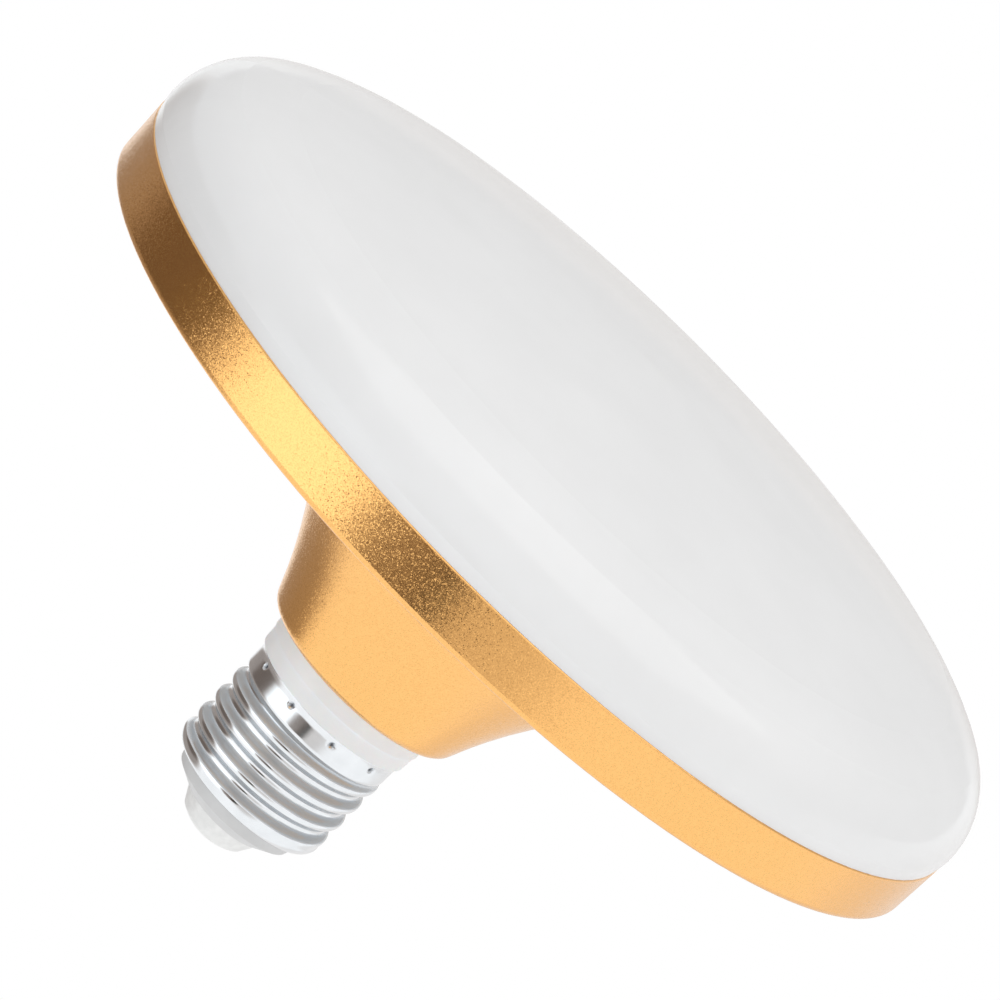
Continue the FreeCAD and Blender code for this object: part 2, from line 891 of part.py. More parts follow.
# Insulator, gripped by the shell's end, and the riveted centre contact


def cap_insulator():
    body = new_body("cap_insulator")
    floor = shell_end - size("shell_floor")
    gap = size("insulator_gap")
    corners = [
        (shank_hole, grip_start),
        (shell_bore - gap, grip_start),
        (shell_bore - gap, floor),
        (grip_radius - gap, floor),
        (grip_radius - gap, shell_end),
        (grip_radius - gap - size("insulator_neck_draft"), insulator_neck),
        (size("insulator_face_radius"), insulator_face),
        (shank_hole, insulator_face),
    ]
    revolve(body, "moulding", corners)
    return body


def centre_contact():
    body = new_body("centre_contact")
    base = size("insulator_face_radius") - size("contact_inset")
    edge = base - size("contact_flank_draft")
    flank = insulator_face + size("contact_flank_height")
    crown = size("contact_crown")
    crown_radius = (edge * edge + crown * crown) / (2 * crown)
    corners = [
        (0, rivet_end),
        (size("rivet_radius"), rivet_end),
        (size("rivet_radius"), grip_start),
        (size("shank_radius"), grip_start),
        (size("shank_radius"), insulator_face),
        (base, insulator_face),
        (edge, flank),
        (0, flank + crown, crown_radius, -1),
    ]
    revolve(body, "button", corners)
    round_edges(body, "button_rounding", size("contact_rounding"), [(edge, flank)])
    return body


# LED board, its chips and the screws that hold it to the housing's bosses


def led_board():
    body = new_body("led_board")
    disc = new_sketch(body, "XY_Plane", "disc_circle", board_front)
    draw_circle(disc, 0, 0, board_radius)
    draw_circle(disc, 0, 0, size("board_hole_radius"))
    pad(body, "disc", disc, size("board_thickness"))
    holes = new_sketch(body, "XY_Plane", "screw_circle", board_front)
    draw_circle(holes, screw_circle, 0, size("screw_radius") + size("screw_gap") * 2)
    hole = pad(body, "screw_hole", holes, size("board_thickness"), "Pocket", down=True)
    repeat_round(body, "screw_holes", hole, "board_screw_count")
    return body


def led_chips():
    """Rings of chips on the board's lower face, fewer in each ring inwards."""
    chips = []
    outer = board_radius - size("led_edge")
    inner = size("connector_place") + size("connector_length") + size("led_inner_gap")
    gaps = count("led_ring_count") - 1
    fewer = (count("led_outer_count") - count("led_inner_count")) // gaps
    for ring in range(gaps + 1):
        radius = outer - (outer - inner) * ring / gaps
        corner = FreeCAD.Vector(
            number(radius - size("led_width") / 2),
            number(-size("led_length") / 2),
            number(board_front - size("led_height")),
        )
        chip = Part.makeBox(number(size("led_width")), number(size("led_length")), number(size("led_height")), corner)
        copies = count("led_outer_count") - ring * fewer
        chips += turned_copies(chip, even_angles(copies, 180.0 / copies)).Solids
    return shaped("led_chips", Part.makeCompound(chips))


def screw(name, radius, length, head_radius, head_height, seat):
    """A pan-head screw at the seat radius 0, its head hanging below the seat height."""
    body = new_body(name)
    corners = [
        (0, seat - head_height),
        (head_radius, seat - head_height),
        (head_radius, seat),
        (radius, seat),
        (radius, seat + length),
        (0, seat + length),
    ]
    revolve(body, "blank", corners)
    round_edges(body, "head_rounding", size("head_rounding"), [(head_radius, seat - head_height)])
    cross = new_sketch(body, "XY_Plane", "recess_outline", seat - head_height)
    near = size("recess_width") / 2
    far = head_radius / 2
    draw_outline(cross, [
        (far, -near), (far, near), (near, near), (near, far), (-near, far), (-near, near),
        (-far, near), (-far, -near), (-near, -near), (-near, -far), (near, -far), (near, -near),
    ])
    pad(body, "recess", cross, size("recess_depth"), "Pocket", down=True)
    return body


def screw_set(name, body, circle, angles):
    """Copies of one screw round the lamp's axis."""
    first = body.Shape.copy()
    first.translate(FreeCAD.Vector(number(circle), 0, 0))
    return shaped(name, turned_copies(first, angles))


def board_screws():
    body = screw(
        "board_screw",
        size("screw_radius") - size("screw_gap"),
        size("screw_length"),
        size("screw_head_radius"),
        size("screw_head_height"),
        board_front,
    )
    return screw_set("board_screws", body, screw_circle, even_angles(count("board_screw_count")))


def adapter_screws():
    body = screw(
        "adapter_screw",
        size("small_screw_radius") - size("screw_gap"),
        size("small_screw_length"),
        size("small_screw_head_radius"),
        size("small_screw_head_height"),
        cup_top,
    )
    return screw_set("adapter_screws", body, lug_circle, even_angles(count("lug_count")))


# Driver board, edge on in the adapter's ribs, and the parts soldered to its two faces


def driver_board():
    half_width = bore_radius - size("driver_edge_gap")
    lengths = (half_width * 2, size("driver_thickness"), driver_length)
    return box("driver_board", lengths, (Size(0.0, "0"), Size(0.0, "0"), driver_top + driver_length / 2))


def inductor_core():
    """A ferrite core with a centre leg and two windows."""
    body = new_body("inductor_core")
    half = size("core_width") / 2
    leg = size("core_leg_width") / 2
    yoke = size("core_yoke")
    low = driver_top + along("inductor_place") - along("core_length") / 2
    high = low + along("core_length")
    sketch = new_sketch(body, "XZ_Plane", "outline")
    draw_outline(sketch, [(-half, low), (half, low), (half, high), (-half, high)])
    for inner, outer in ((leg, half - yoke), (yoke - half, -leg)):
        window = [(inner, low + yoke), (outer, low + yoke), (outer, high - yoke), (inner, high - yoke)]
        draw_outline(sketch, window)
    core = pad(body, "block", sketch, size("core_depth"))
    core.SideType = "Symmetric"
    body.Placement.Base.y = number(coil_centre)
    bind(body, "Placement.Base.y", coil_centre)
    return body


def inductor_winding():
    """Copper turns round the core's centre leg, resting on the board."""
    gap = size("coil_gap")
    length = along("core_length") - (size("core_yoke") + gap) * 2
    leg = (size("core_leg_width") + gap * 2, size("core_depth") + gap * 2, length + gap * 2)
    centre = (Size(0.0, "0"), coil_centre, driver_top + along("inductor_place"))
    turns = box("winding_block", (size("coil_width"), size("coil_depth"), length), centre)
    return cut("inductor_winding", turns, box("winding_space", leg, centre))


def can(name, radius, low, length):
    """A capacitor's can, stood along the lamp's axis with a rounded top edge."""
    body = new_body(name)
    revolve(body, "can", [(0, low), (radius, low), (radius, low + length), (0, low + length)])
    round_edges(body, "can_rounding", size("can_rounding"), [(radius, low)])
    return body


def input_capacitor():
    radius = size("input_capacitor_radius")
    low = driver_top + along("input_capacitor_place") - along("input_capacitor_length") / 2
    body = can("input_capacitor", radius, low, along("input_capacitor_length"))
    return place_body(body, size("input_capacitor_side"), driver_face + radius)


def output_capacitor():
    """Lies across the board's top end."""
    radius = size("output_capacitor_radius")
    body = can("output_capacitor", radius, -size("output_capacitor_length") / 2, size("output_capacitor_length"))
    body.Placement.Rotation = FreeCAD.Rotation(FreeCAD.Vector(0, 1, 0), 90)
    body.Placement.Base.z = number(driver_top + along("output_capacitor_place"))
    bind(body, "Placement.Base.z", driver_top + along("output_capacitor_place"))
    return place_body(body, Size(0.0, "0"), driver_face + radius)


def place_body(body, x, y):
    for path, value in (("x", x), ("y", y)):
        setattr(body.Placement.Base, path, number(value))
        bind(body, f"Placement.Base.{path}", value)
    return body


def film_capacitor():
    depth = size("film_capacitor_depth")
    lengths = (size("film_capacitor_width"), depth, along("film_capacitor_length"))
    centre = (size("film_capacitor_side"), driver_face + depth / 2, driver_top + along("film_capacitor_place"))
    return box("film_capacitor", lengths, centre)


def fuse_resistor():
    """A small resistor that stands along the board's edge, its leads bent back to the board."""
    radius = size("fuse_radius")
    middle = driver_top + along("fuse_place")
    half = along("fuse_length") / 2
    reach = half + along("lead_reach")
    x = size("fuse_side")
    y = driver_face + radius
    body = Part.makeCylinder(
        number(radius),
        number(along("fuse_length")),
        FreeCAD.Vector(number(x), number(y), number(middle - half)),
    )
    leads = []
    for side in (-1, 1):
        points = [
            (x, y, middle + half * side * FUSE_LEAD_START),
            (x, y, middle + reach * side),
            (x, driver_face, middle + reach * side),
        ]
        leads.append(lead(points, size("lead_radius")))
    return shaped("fuse_resistor", body.multiFuse(leads))


def legged_chip(name, lengths, legs, place):
    """A moulded chip on the board's rear face, with a row of legs along each side."""
    width, length, height = lengths
    face = -driver_face
    middle = driver_top + place
    pieces = [box(f"{name}_case", (width, height, length), (Size(0.0, "0"), face - height / 2, middle))]
    for row in range(legs):
        level = middle + along("leg_pitch") * (row - (legs - 1) / 2)
        for side in (-1, 1):
            across = (width / 2 + size("leg_reach") / 4) * side
            lengths = (size("leg_reach") * 1.5, size("leg_height"), size("leg_width"))
            centre = (across, face - size("leg_height") / 2, level)
            pieces.append(box(f"{name}_leg_{row}_{side + 1}", lengths, centre))
    return fuse(name, pieces)


def bridge_rectifier():
    lengths = (size("bridge_width"), along("bridge_length"), size("bridge_height"))
    return legged_chip("bridge_rectifier", lengths, 2, along("bridge_place"))


def driver_chip():
    lengths = (size("chip_width"), along("chip_length"), size("chip_height"))
    return legged_chip("driver_chip", lengths, 4, along("chip_place"))


def output_diode():
    lengths = (size("diode_length"), size("diode_height"), size("diode_width"))
    centre = (Size(0.0, "0"), -driver_face - size("diode_height") / 2, driver_top + along("diode_place"))
    return box("output_diode", lengths, centre)


def chip_resistors():
    """Two columns of small resistors on the rear face."""
    height = number(size("resistor_height"))
    width = number(size("resistor_width"))
    length = number(size("resistor_length"))
    pieces = []
    for row in range(count("resistor_count") // 2):
        low = number(driver_top + along("resistor_place") + along("resistor_step") * row)
        for side in (-1, 1):
            x = number(size("resistor_side")) * side - width / 2
            pieces.append(Part.makeBox(width, height, length, FreeCAD.Vector(x, number(-driver_face) - height, low)))
    return shaped("chip_resistors", Part.makeCompound(pieces))


# Leads, each a run of straight lengths joined by arcs


def lead(points, radius):
    """A round wire along a path whose corners are rounded as far as its runs allow."""
    places = [FreeCAD.Vector(*(number(value) for value in point)) for point in points]
    edges = []
    start = places[0]
    for before, corner, after in zip(places, places[1:], places[2:]):
        into = (corner - before).normalize()
        out = (after - corner).normalize()
        turn = into.getAngle(out)
        trim = number(size("bend_share")) * min((corner - before).Length, (after - corner).Length)
        bend = trim / math.tan(turn / 2)
        first = corner - into * trim
        last = corner + out * trim
        towards = (out - into).normalize()
        middle = corner + towards * (bend / math.cos(turn / 2) - bend)
        edges.append(Part.LineSegment(start, first).toShape())
        edges.append(Part.Arc(first, middle, last).toShape())
        start = last
    edges.append(Part.LineSegment(start, places[-1]).toShape())
    path = Part.Wire(edges)
    section = Part.Wire(Part.makeCircle(number(radius), places[0], places[1] - places[0]))
    return path.makePipeShell([section], True, True)


def live_wire():
    """From the centre contact's rivet up to the driver board."""
    radius = size("mains_lead_radius")
    x = size("mains_lead_side")
    y = -driver_face - radius
    end = driver_end - along("mains_lead_overlap")
    points = [(0, 0, rivet_end), (0, 0, plug_end), (x, y, (plug_end + plug_floor) / 2), (x, y, end)]
    return shaped("live_wire", lead(points, radius))


def neutral_wire():
    """From the shell's wall, past the plug's end, up to the driver board."""
    radius = size("mains_lead_radius")
    x = -size("mains_lead_side")
    y = -driver_face - radius
    end = driver_end - along("mains_lead_overlap")
    level = plug_end + radius * 2
    edge = driver_face + radius * 2
    points = [(-root(shell_bore * shell_bore - edge * edge), y, level), (x, y, level), (x, y, end)]
    return shaped("neutral_wire", lead(points, radius))


def led_lead(name, side):
    """From the driver board through the LED board's hole and along its face to the connector."""
    radius = size("led_lead_radius")
    x = size("led_lead_side") * side
    y = -driver_face - radius
    across = size("connector_width") / 4 * side
    level = board_front - size("connector_height") / 2
    turn = (driver_top + board_back) / 2
    points = [
        (x, y, driver_top + along("led_lead_overlap")),
        (x, y, turn),
        (x, across, board_front),
        (x + radius, across, level),
        (size("connector_place"), across, level),
    ]
    return shaped(name, lead(points, radius))


def wire_connector():
    lengths = (size("connector_length"), size("connector_width"), size("connector_height"))
    centre = (
        size("connector_place") + size("connector_length") / 2,
        Size(0.0, "0"),
        board_front - size("connector_height") / 2,
    )
    return box("wire_connector", lengths, centre)


def check_document():
    """Stop if any object of the document failed."""
    for item in DOC.Objects:
        if "Invalid" in item.State or "Error" in item.State:
            raise RuntimeError(f"{item.Name} failed: {item.State}")


def export(pieces):
    os.makedirs("parts", exist_ok=True)
    DOC.recompute()
    check_document()
    for piece in pieces:
        if piece.Shape.isNull() or not piece.Shape.isValid():
            raise RuntimeError(f"{piece.Label} has no valid shape")
    for piece in pieces:
        piece.Shape.exportStep(f"parts/{piece.Label}.step")
        print(piece.Label, len(piece.Shape.Solids), round(piece.Shape.Volume, 1))


export([
    diffuser_cover(),
    housing(),
    base_adapter(),
    screw_shell(),
    cap_insulator(),
    centre_contact(),
    led_board(),
    led_chips(),
    board_screws(),
    adapter_screws(),
    driver_board(),
    inductor_core(),
    inductor_winding(),
    input_capacitor(),
    output_capacitor(),
    film_capacitor(),
    fuse_resistor(),
    bridge_rectifier(),
    driver_chip(),
    output_diode(),
    chip_resistors(),
    live_wire(),
    neutral_wire(),
    led_lead("positive_wire", 1),
    led_lead("negative_wire", -1),
    wire_connector(),
])
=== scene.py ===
import math

import bmesh
import bpy
from mathutils import Matrix, Vector


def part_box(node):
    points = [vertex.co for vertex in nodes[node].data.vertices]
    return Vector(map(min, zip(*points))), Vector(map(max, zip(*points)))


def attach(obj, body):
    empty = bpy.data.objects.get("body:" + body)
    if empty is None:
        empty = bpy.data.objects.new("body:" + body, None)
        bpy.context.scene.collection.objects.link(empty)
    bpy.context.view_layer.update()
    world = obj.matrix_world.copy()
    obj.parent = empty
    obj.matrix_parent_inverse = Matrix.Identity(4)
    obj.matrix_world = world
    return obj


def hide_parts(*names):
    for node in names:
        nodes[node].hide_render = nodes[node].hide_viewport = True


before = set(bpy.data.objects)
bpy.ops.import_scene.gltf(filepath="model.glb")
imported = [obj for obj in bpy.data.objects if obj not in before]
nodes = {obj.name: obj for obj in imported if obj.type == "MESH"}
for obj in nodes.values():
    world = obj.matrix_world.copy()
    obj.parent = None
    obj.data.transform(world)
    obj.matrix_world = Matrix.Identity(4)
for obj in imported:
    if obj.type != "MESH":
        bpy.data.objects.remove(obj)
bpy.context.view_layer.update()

# Opal cover.
# A shallow dome moulded in milky plastic with a smooth, faintly waxy surface.
# Its rim plugs into the gold housing, and light from the chips comes out through it.

OPAL = (0.88, 0.88, 0.88)
OPAL_SHADE = (0.85, 0.85, 0.85)
OPAL_MOTTLE = 0.020
OPAL_ROUGHNESS = 0.12
OPAL_IOR = 1.49
OPAL_SCATTER = 0.15
OPAL_SCATTER_COLOUR = (1.0, 1.0, 0.95)
OPAL_SCATTER_DEPTH = 0.004
OPAL_RIPPLE = 0.012
OPAL_RIPPLE_DEPTH = 0.00002


def new_finish(name, values):
    """A material, its node tree and its shader, whose sockets get the given values."""
    finish = bpy.data.materials.new(name)
    finish.use_nodes = True
    tree = finish.node_tree
    shader = tree.nodes["Principled BSDF"]
    for socket, value in values.items():
        shader.inputs[socket].default_value = value
    return finish, tree, shader


def add_node(tree, kind, **values):
    """A node whose sockets, or else settings, get the given values."""
    node = tree.nodes.new(kind)
    for name, value in values.items():
        title = name.replace("_", " ").title()
        if title in node.inputs:
            node.inputs[title].default_value = value
        else:
            setattr(node, name, value)
    return node


def add_texture(tree, kind, size, **values):
    """A texture on Object coordinates whose features are about size metres across."""
    place = add_node(tree, "ShaderNodeTexCoord")
    texture = add_node(tree, kind, scale=1 / size, **values)
    tree.links.new(place.outputs["Object"], texture.inputs["Vector"])
    return texture


def add_noise(tree, size, detail=2.0):
    return add_texture(tree, "ShaderNodeTexNoise", size, detail=detail).outputs["Fac"]


def add_ramp(tree, source, first, second, start=0.3, stop=0.7):
    """A colour that goes from the first to the second as the source goes from start to stop."""
    ramp = add_node(tree, "ShaderNodeValToRGB")
    for point, place, colour in zip(ramp.color_ramp.elements, (start, stop), (first, second)):
        point.position = place
        point.color = (*colour, 1.0)
    tree.links.new(source, ramp.inputs["Fac"])
    return ramp.outputs["Color"]


def add_bump(tree, shader, source, depth):
    """Raises the surface by up to depth metres where the source is 1."""
    bump = add_node(tree, "ShaderNodeBump", strength=1.0, distance=depth)
    tree.links.new(source, bump.inputs["Height"])
    tree.links.new(bump.outputs["Normal"], shader.inputs["Normal"])


def dress(node, finish):
    """Gives a carried-over piece its finish and keeps its shape."""
    slots = nodes[node].material_slots
    for slot in slots:
        slot.material = finish
    if not slots:
        nodes[node].data.materials.append(finish)


def opal_plastic():
    looks = {
        "Roughness": OPAL_ROUGHNESS,
        "IOR": OPAL_IOR,
        "Subsurface Weight": OPAL_SCATTER,
        "Subsurface Radius": OPAL_SCATTER_COLOUR,
        "Subsurface Scale": OPAL_SCATTER_DEPTH,
    }
    finish, tree, shader = new_finish("opal_plastic", looks)
    tone = add_ramp(tree, add_noise(tree, OPAL_MOTTLE), OPAL_SHADE, OPAL)
    tree.links.new(tone, shader.inputs["Base Color"])
    add_bump(tree, shader, add_noise(tree, OPAL_RIPPLE), OPAL_RIPPLE_DEPTH)
    return finish


dress("diffuser_cover", opal_plastic())

# Gold housing.
# A die-cast dish and neck, sprayed with a gold lacquer full of fine metal flake.
# The flake gives a satin grain that sparkles, and it is coarser where light grazes it.

GOLD = (1.00, 0.555, 0.195)
GOLD_DEEP = (0.84, 0.45, 0.15)
GOLD_STOPS = (0.1, 0.5)
GOLD_POLISH = ((0.17, 0.17, 0.17), (0.21, 0.21, 0.21))
FLAKE = 0.00012
FLAKE_TILT = 4.5


def add_arithmetic(tree, kind, operation, *values):
    """The first output of arithmetic on values, each a socket or a constant."""
    node = add_node(tree, kind, operation=operation)
    for socket, value in zip(node.inputs, values):
        if isinstance(value, bpy.types.NodeSocket):
            tree.links.new(value, socket)
        else:
            socket.default_value = value
    return node.outputs[0]


def tilt_flakes(tree, shader, cells):
    """Lays each flake at an angle of its own: most nearly flat, and a few well tilted."""
    kind = "ShaderNodeVectorMath"
    lean = add_arithmetic(tree, kind, "SUBTRACT", cells, (0.5, 0.5, 0.5))
    square = add_arithmetic(tree, kind, "MULTIPLY", lean, lean)
    fourth = add_arithmetic(tree, kind, "MULTIPLY", square, square)
    fifth = add_arithmetic(tree, kind, "MULTIPLY", fourth, lean)
    tilt = add_arithmetic(tree, kind, "MULTIPLY", fifth, (FLAKE_TILT, FLAKE_TILT, FLAKE_TILT))
    surface = add_node(tree, "ShaderNodeNewGeometry")
    leaning = add_arithmetic(tree, kind, "ADD", surface.outputs["Normal"], tilt)
    tree.links.new(add_arithmetic(tree, kind, "NORMALIZE", leaning), shader.inputs["Normal"])


def gold_lacquer():
    finish, tree, shader = new_finish("gold_lacquer", {"Metallic": 1.0})
    cells = add_texture(tree, "ShaderNodeTexVoronoi", FLAKE).outputs["Color"]
    tone = add_ramp(tree, cells, GOLD_DEEP, GOLD, *GOLD_STOPS)
    tree.links.new(tone, shader.inputs["Base Color"])
    polish = add_ramp(tree, add_noise(tree, FLAKE * 3), *GOLD_POLISH)
    tree.links.new(polish, shader.inputs["Roughness"])
    tilt_flakes(tree, shader, cells)
    return finish


dress("housing", gold_lacquer())

# White base adapter.
# An injection-moulded sleeve that keeps the metal housing away from the live cap.
# Only its ring shows, between the gold neck and the cap's flared mouth.

COLLAR_WHITE = (0.90, 0.94, 0.98)
COLLAR_SHADE = (0.87, 0.91, 0.95)
COLLAR_FLOW = 0.004
COLLAR_GRAIN = 0.0004
COLLAR_GRAIN_DEPTH = 0.000004


def white_moulding():
    looks = {"Roughness": 0.38, "Subsurface Weight": 0.1, "Subsurface Scale": 0.001}
    finish, tree, shader = new_finish("white_moulding", looks)
    tone = add_ramp(tree, add_noise(tree, COLLAR_FLOW), COLLAR_SHADE, COLLAR_WHITE)
    tree.links.new(tone, shader.inputs["Base Color"])
    add_bump(tree, shader, add_noise(tree, COLLAR_GRAIN), COLLAR_GRAIN_DEPTH)
    return finish


dress("base_adapter", white_moulding())

# Screw shell.
# A thin brass cup, rolled to an E27 thread between dies and then bright nickel plated.
# Its mouth flares over the white adapter and is crimped to it by a ring of small dimples.

low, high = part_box("screw_shell")
SHELL_MOUTH = low.z
SHELL_END = high.z
CREST_RADIUS = 0.01313
THREAD_PITCH = 0.003629
THREAD_ARC = 0.001025
THREAD_START = SHELL_MOUTH + 0.00432
SKIRT_RADIUS = 0.01295
SHELL_WALL = 0.0003
LIP_FLARE = 0.0005
LIP_HEIGHT = 0.0013
RUN_IN_LOW = 0.00345
RUN_IN_HIGH = 0.00525
END_HEIGHT = 0.0021
END_STEP = 0.00175
GRIP_STEP = 0.00045
DIMPLES = 10
DIMPLE_RADIUS = 0.00075
DIMPLE_DEPTH = 0.0004
DIMPLE_HEIGHT = 0.00125
SHELL_STEPS = 300
ROW_HEIGHT = 0.00016


def thread_turn(height, angle):
    """How many turns of the thread lie between its start and a place."""
    return (height - THREAD_START) / THREAD_PITCH - (angle - math.pi / 2) / math.tau


def thread_wave(height, angle):
    """Radius of the rolled thread: crest and root arcs that meet half way."""
    along = thread_turn(height, angle)
    offset = abs(along - round(along)) * THREAD_PITCH
    if offset < THREAD_PITCH / 4:
        return CREST_RADIUS - THREAD_ARC + math.sqrt(THREAD_ARC**2 - offset**2)
    spread = THREAD_PITCH / 2 - offset
    reach = math.sqrt(4 * THREAD_ARC**2 - THREAD_PITCH**2 / 4)
    return CREST_RADIUS - THREAD_ARC + reach - math.sqrt(THREAD_ARC**2 - spread**2)


def ease(start, stop, value):
    """Goes smoothly from 0 to 1 as the value goes from start to stop."""
    share = min(1.0, max(0.0, (value - start) / (stop - start)))
    return share * share * (3 - 2 * share)


def rolled_share(height):
    """How far the plain skirt has given way to the thread."""
    return ease(RUN_IN_LOW, RUN_IN_HIGH, height - SHELL_MOUTH)


def dimple_share(height, angle):
    """How far the crimping punches press the skirt in, as a share of their full depth."""
    step = math.tau / DIMPLES
    first = math.pi / 2 + step / 2
    nearest = first + round((angle - first) / step) * step
    across = (angle - nearest) * SKIRT_RADIUS
    away = math.hypot(across, height - SHELL_MOUTH - DIMPLE_HEIGHT)
    return 1 - ease(0, DIMPLE_RADIUS, away)


def shell_radius(height, angle):
    """Radius of the shell's outside at a height and an angle."""
    end = SHELL_END - END_HEIGHT
    lip = LIP_FLARE * (1 - min(1.0, (height - SHELL_MOUTH) / LIP_HEIGHT)) ** 2
    plain = SKIRT_RADIUS + lip - DIMPLE_DEPTH * dimple_share(height, angle)
    radius = plain + (thread_wave(height, angle) - plain) * rolled_share(height)
    fade = ease(end - THREAD_PITCH / 4, end + END_HEIGHT / 3, height)
    closing = max(0.0, (height - end) / END_HEIGHT)
    rounded = CREST_RADIUS - END_STEP * (1 - math.sqrt(max(0.0, 1 - closing**2)))
    return radius + (min(rounded, CREST_RADIUS) - radius) * fade


# How steep a flank is, and how deep a dimple is, where the painted shade begins and where it is full
FLANK_SHADE = (0.45, 0.80)
DIMPLE_SHADE = (0.45, 0.85)
# The share of the end's height over which the flanks' painted shade fades out
FLANK_SHADE_FADE = 0.2


def mark_painted_shade(shell):
    """Marks the painted shade: on each flank that faces the skirt and in each dimple, and darkest in
    the middle of each dimple.
    """
    painted_shade = shell.verts.layers.float.new("painted_shade")
    painted_dimple_shade = shell.verts.layers.float.new("painted_dimple_shade")
    end = SHELL_END - END_HEIGHT
    for vert in shell.verts:
        height = vert.co.z
        angle = math.atan2(vert.co.y, vert.co.x)
        steepness = -math.sin(math.tau * thread_turn(height, angle))
        flank = rolled_share(height) * ease(*FLANK_SHADE, steepness)
        before_end = ease(end, end - END_HEIGHT * FLANK_SHADE_FADE, height)
        dimple = dimple_share(height, angle)
        vert[painted_shade] = max(flank * before_end, dimple)
        vert[painted_dimple_shade] = ease(*DIMPLE_SHADE, dimple)


def add_object(name, data):
    piece = bpy.data.objects.new(name, data)
    bpy.context.scene.collection.objects.link(piece)
    return piece


def build_shell():
    """Spins a straight line to a tube, presses it to its shape and folds its end inwards."""
    shell = bmesh.new()
    rows = round((SHELL_END - SHELL_MOUTH) / ROW_HEIGHT)
    rail = [
        shell.verts.new((SKIRT_RADIUS, 0, SHELL_MOUTH + (SHELL_END - SHELL_MOUTH) * i / rows))
        for i in range(rows + 1)
    ]
    edges = [shell.edges.new(pair) for pair in zip(rail, rail[1:])]
    bmesh.ops.spin(
        shell,
        geom=rail + edges,
        cent=(0, 0, 0),
        axis=(0, 0, 1),
        angle=math.tau,
        steps=SHELL_STEPS,
        use_merge=True,
    )
    for vert in shell.verts:
        radius = shell_radius(vert.co.z, math.atan2(vert.co.y, vert.co.x))
        vert.co.xy = vert.co.xy.normalized() * radius
    last_row = SHELL_END - ROW_HEIGHT / 2
    rim = [edge for edge in shell.edges if edge.is_boundary and edge.verts[0].co.z > last_row]
    grip = CREST_RADIUS - END_STEP - GRIP_STEP
    for vert in bmesh.ops.extrude_edge_only(shell, edges=rim)["geom"]:
        if isinstance(vert, bmesh.types.BMVert):
            vert.co.xy = vert.co.xy.normalized() * grip
    bmesh.ops.recalc_face_normals(shell, faces=shell.faces)
    mark_painted_shade(shell)
    mesh = bpy.data.meshes.new("screw_shell_rolled")
    shell.to_mesh(mesh)
    shell.free()
    mesh.shade_smooth()
    piece = add_object("screw_shell_rolled", mesh)
    wall = piece.modifiers.new("wall", "SOLIDIFY")
    wall.thickness = SHELL_WALL
    wall.offset = -1.0
    return piece


NICKEL = (0.85, 0.87, 0.89)
NICKEL_SHADE = (0.78, 0.80, 0.82)
# Painted shade: a flat blue-grey with little metal on the flanks that face the skirt and in the
# dimples, where the gold housing would be mirrored
PAINTED_SHADE_NICKEL = (0.48, 0.55, 0.62)
# Painted shade: near black in the middle of each dimple's hollow
DIMPLE_SHADE_NICKEL = (0.05, 0.05, 0.06)
NICKEL_CLOUD = 0.003
NICKEL_GRAIN = 0.0009
NICKEL_GRAIN_DEPTH = 0.000006
# How metallic the plating is where the shade is painted
PAINTED_SHADE_METALLIC = 0.08
# The dies burnish the thread more than the skirt
SKIRT_ROUGHNESS = 0.18
THREAD_ROUGHNESS = 0.12
# Places of the colour sockets of a Mix node, which has others of the same names
MIX_FIRST = 6
MIX_SECOND = 7
MIX_RESULT = 2


def add_mix(tree, share, source, colour):
    """Goes from a source to a colour as the share goes from 0 to 1."""
    mix = add_node(tree, "ShaderNodeMix", data_type="RGBA")
    tree.links.new(share, mix.inputs["Factor"])
    tree.links.new(source, mix.inputs[MIX_FIRST])
    mix.inputs[MIX_SECOND].default_value = (*colour, 1)
    return mix.outputs[MIX_RESULT]


def add_range(tree, source, **values):
    """A value that goes between to_min and to_max as the source goes between from_min and from_max."""
    span = add_node(tree, "ShaderNodeMapRange", **values)
    tree.links.new(source, span.inputs["Value"])
    return span.outputs["Result"]


def nickel_plate():
    finish, tree, shader = new_finish("nickel_plate", {})
    painted_shade = add_node(tree, "ShaderNodeAttribute", attribute_name="painted_shade").outputs["Fac"]
    painted_dimple_shade = add_node(tree, "ShaderNodeAttribute", attribute_name="painted_dimple_shade").outputs["Fac"]
    plating = add_ramp(tree, add_noise(tree, NICKEL_CLOUD), NICKEL_SHADE, NICKEL)
    # Painted shade on the flanks that face the skirt and in the dimples, then darker painted shade in
    # the middle of each dimple
    plating = add_mix(tree, painted_shade, plating, PAINTED_SHADE_NICKEL)
    plating = add_mix(tree, painted_dimple_shade, plating, DIMPLE_SHADE_NICKEL)
    tree.links.new(plating, shader.inputs["Base Color"])
    bright = add_range(tree, painted_shade, to_min=1.0, to_max=PAINTED_SHADE_METALLIC)
    tree.links.new(bright, shader.inputs["Metallic"])
    place = add_node(tree, "ShaderNodeTexCoord")
    split = add_node(tree, "ShaderNodeSeparateXYZ")
    tree.links.new(place.outputs["Object"], split.inputs["Vector"])
    polish = add_range(
        tree,
        split.outputs["Z"],
        from_min=SHELL_MOUTH + RUN_IN_LOW,
        from_max=SHELL_MOUTH + RUN_IN_HIGH,
        to_min=SKIRT_ROUGHNESS,
        to_max=THREAD_ROUGHNESS,
    )
    tree.links.new(polish, shader.inputs["Roughness"])
    add_bump(tree, shader, add_noise(tree, NICKEL_GRAIN), NICKEL_GRAIN_DEPTH)
    return finish


shell_piece = build_shell()
shell_piece.data.materials.append(nickel_plate())
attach(shell_piece, "root")
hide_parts("screw_shell")

# Cap insulator.
# A pale grey moulding with a matt face, a little darker than the white adapter.
# The shell's rolled end grips it, and the centre contact is riveted through it.

